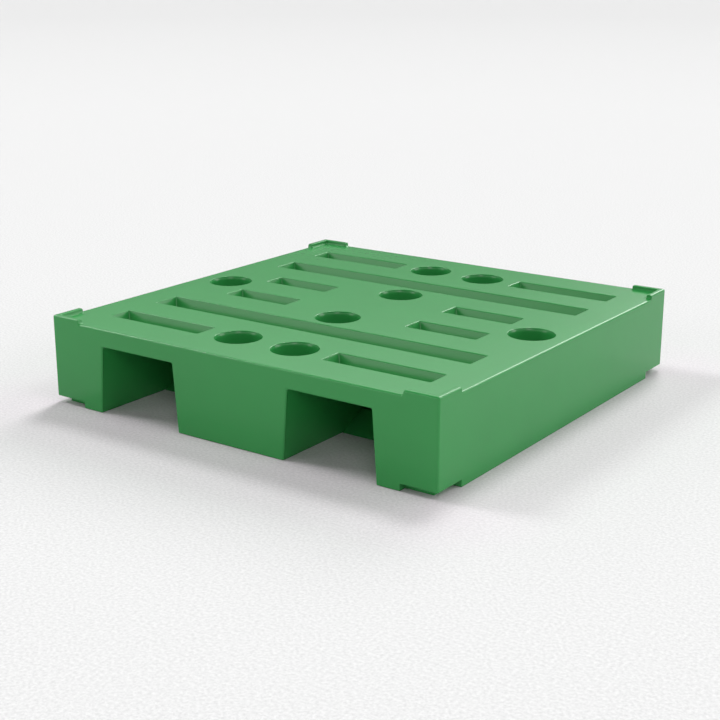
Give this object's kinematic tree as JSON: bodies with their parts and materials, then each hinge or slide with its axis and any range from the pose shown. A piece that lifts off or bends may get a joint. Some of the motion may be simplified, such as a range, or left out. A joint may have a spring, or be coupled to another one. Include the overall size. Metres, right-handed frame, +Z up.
{
  "type": "plastic pallet",
  "caption": "Square closed-deck plastic pallet with fork pockets through front and rear, slotted and holed deck, raised corner lips, and steel tubes inside.",
  "frame": {"origin": "on the ground under the middle of the pallet", "axes": "+Z up from the ground to the deck; the forks enter along Y, with the front of the pallet towards -Y; +X to the right when facing the front"},
  "size_m": [1, 1, 0.2],
  "materials": {
    "deck_plastic": "moulded satin green polyethylene",
    "base_plastic": "moulded satin green polyethylene",
    "bar_plastic": "moulded satin green polyethylene",
    "sleeve_plastic": "moulded satin green polyethylene",
    "galvanised_steel": "galvanised, dull spangle",
    "cap_plastic": "moulded black polyethylene",
    "plug_plastic": "moulded green polyethylene"
  },
  "bodies": {
    "root": {"deck_shell": "deck_plastic", "base_shell": "base_plastic", "left_front_cross_bar": "bar_plastic", "left_rear_cross_bar": "bar_plastic", "right_front_cross_bar": "bar_plastic", "right_rear_cross_bar": "bar_plastic", "front_left_hole_sleeve": "sleeve_plastic", "front_right_hole_sleeve": "sleeve_plastic", "centre_front_hole_sleeve": "sleeve_plastic", "centre_rear_hole_sleeve": "sleeve_plastic", "side_left_hole_sleeve": "sleeve_plastic", "side_right_hole_sleeve": "sleeve_plastic", "rear_left_hole_sleeve": "sleeve_plastic", "rear_right_hole_sleeve": "sleeve_plastic", "front_deck_tube": "galvanised_steel", "middle_deck_tube": "galvanised_steel", "rear_deck_tube": "galvanised_steel", "front_base_tube": "galvanised_steel", "rear_base_tube": "galvanised_steel", "front_deck_tube_left_cap": "cap_plastic", "front_deck_tube_right_cap": "cap_plastic", "middle_deck_tube_left_cap": "cap_plastic", "middle_deck_tube_right_cap": "cap_plastic", "rear_deck_tube_left_cap": "cap_plastic", "rear_deck_tube_right_cap": "cap_plastic", "front_base_tube_left_cap": "cap_plastic", "front_base_tube_right_cap": "cap_plastic", "rear_base_tube_left_cap": "cap_plastic", "rear_base_tube_right_cap": "cap_plastic", "left_drain_plug": "plug_plastic", "centre_drain_plug": "plug_plastic", "right_drain_plug": "plug_plastic"}
  },
  "joints": []
}
